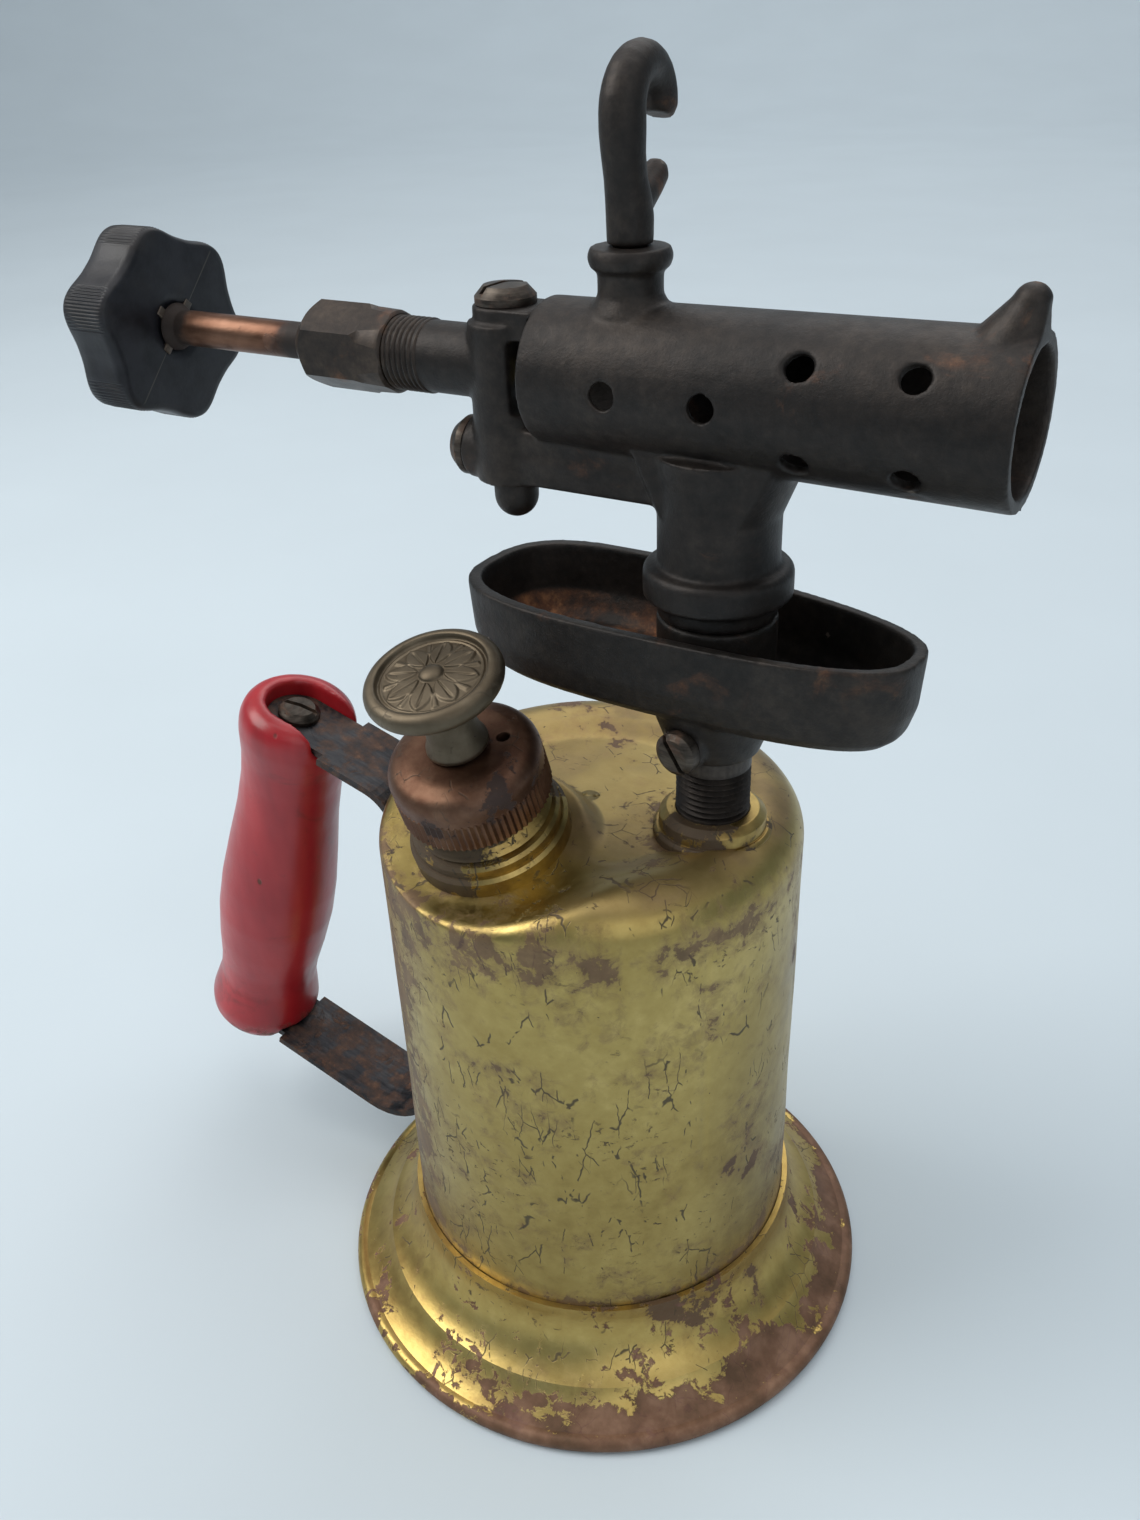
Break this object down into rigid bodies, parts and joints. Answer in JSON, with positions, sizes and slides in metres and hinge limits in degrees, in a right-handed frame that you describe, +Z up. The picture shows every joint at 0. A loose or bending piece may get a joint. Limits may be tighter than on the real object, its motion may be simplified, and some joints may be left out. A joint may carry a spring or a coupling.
{
  "type": "gasoline blowtorch",
  "caption": "Antique hand blowtorch: brass fuel tank on a flared base, hand pump, needle-valve burner over a priming pan, soldering-iron hook and a red wooden grip.",
  "frame": {"origin": "on the tank's axis, in the plane the base stands on", "axes": "+Z up along the tank's axis; +X along the flame tube, the way the flame points; the handle is on the -X side and the pump leans to -Y"},
  "size_m": [0.2292, 0.1442, 0.3079],
  "materials": {
    "tank_brass": "aged satin",
    "base_brass": "tarnished satin",
    "neck_brass": "worn satin",
    "cap_bronze": "copper-brown patina",
    "knob_bronze": "dull grey-bronze",
    "inner_brass": "dull",
    "black_iron": "sooty cast skin",
    "pan_iron": "sooty with rust",
    "nut_iron": "brown oxide",
    "spindle_bronze": "worn copper-brown",
    "strap_steel": "blue-black with rust",
    "screw_steel": "grey-brown",
    "spring_steel": "bright",
    "hard_rubber": "matt black",
    "red_paint": "gloss crimson paint",
    "leather": "oiled",
    "felt": "fibrous"
  },
  "bodies": {
    "torch": {"tank_shell": "tank_brass", "tank_bottom": "tank_brass", "base_skirt": "base_brass", "filler_bushing": "neck_brass", "pump_neck": "neck_brass", "pump_tube": "inner_brass", "pump_foot": "inner_brass", "check_spring": "spring_steel", "valve_retainer": "inner_brass", "riser_collar": "neck_brass", "riser_pipe": "black_iron", "supply_tube": "inner_brass", "wick": "felt", "priming_pan": "pan_iron", "pan_screw": "screw_steel", "burner_body": "black_iron", "jet_nozzle": "inner_brass", "passage_screw": "screw_steel", "rear_plug": "screw_steel", "packing_nut": "nut_iron", "packing_ring": "felt", "iron_hook": "black_iron", "handle_strap": "strap_steel", "grip": "red_paint", "handle_bolt": "screw_steel", "handle_nut": "screw_steel"},
    "filler_washer": {"filler_gasket": "leather"},
    "filler_screw": {"filler_plug": "knob_bronze"},
    "check_valve": {"check_poppet": "inner_brass"},
    "cap_felt": {"cap_washer": "felt"},
    "cap": {"pump_cap": "cap_bronze"},
    "plunger_leather": {"plunger_cup": "leather"},
    "plunger": {"pump_rod": "screw_steel", "plunger_washers": "inner_brass", "plunger_nuts": "screw_steel", "pump_knob": "knob_bronze"},
    "needle": {"needle_tip": "inner_brass"},
    "valve_stem": {"valve_spindle": "spindle_bronze", "valve_wheel": "hard_rubber", "wheel_screw": "screw_steel"}
  },
  "joints": [
    {"name": "filler_gasket_drop", "type": "slide", "parent": "torch", "child": "filler_washer", "axis": [0, 0, -1], "range_m": [0, 0.006]},
    {"name": "filler_plug_turn", "type": "hinge", "parent": "filler_washer", "child": "filler_screw", "pos_m": [0, 0, 0.02], "axis": [0, 0, -1], "range_deg": [0, 1441]},
    {"name": "check_valve_lift", "type": "slide", "parent": "torch", "child": "check_valve", "axis": [0.0407, 0.2895, -0.9563], "range_m": [0, 0.0015], "stiffness_N_per_m": 60, "springref_m": -0.003, "deforming": ["check_spring"]},
    {"name": "cap_rise", "type": "slide", "parent": "torch", "child": "cap_felt", "axis": [-0.0407, -0.2895, 0.9563], "range_m": [0, 0.00856]},
    {"name": "cap_turn", "type": "hinge", "parent": "cap_felt", "child": "cap", "pos_m": [-0.01331, -0.02929, 0.16813], "axis": [-0.0407, -0.2895, 0.9563], "range_deg": [0, 1801]},
    {"name": "plunger_stroke", "type": "slide", "parent": "cap_felt", "child": "plunger_leather", "axis": [-0.0407, -0.2895, 0.9563], "range_m": [0, 0.07]},
    {"name": "plunger_spin", "type": "hinge", "parent": "plunger_leather", "child": "plunger", "pos_m": [-0.0125, -0.0235, 0.149], "axis": [-0.0407, -0.2895, 0.9563], "continuous": true},
    {"name": "needle_travel", "type": "slide", "parent": "torch", "child": "needle", "axis": [-1, 0, 0], "range_m": [0, 0.002]},
    {"name": "valve_turn", "type": "hinge", "parent": "needle", "child": "valve_stem", "pos_m": [-0.05, 0, 0.2495], "axis": [-1, 0, 0], "range_deg": [0, 721]}
  ],
  "couplings": [
    {"joint": "filler_plug_turn", "follows": "filler_gasket_drop", "rad_per_m": 4188.8},
    {"joint": "cap_turn", "follows": "cap_rise", "rad_per_m": 3672.2},
    {"joint": "valve_turn", "follows": "needle_travel", "rad_per_m": 6283.2}
  ]
}
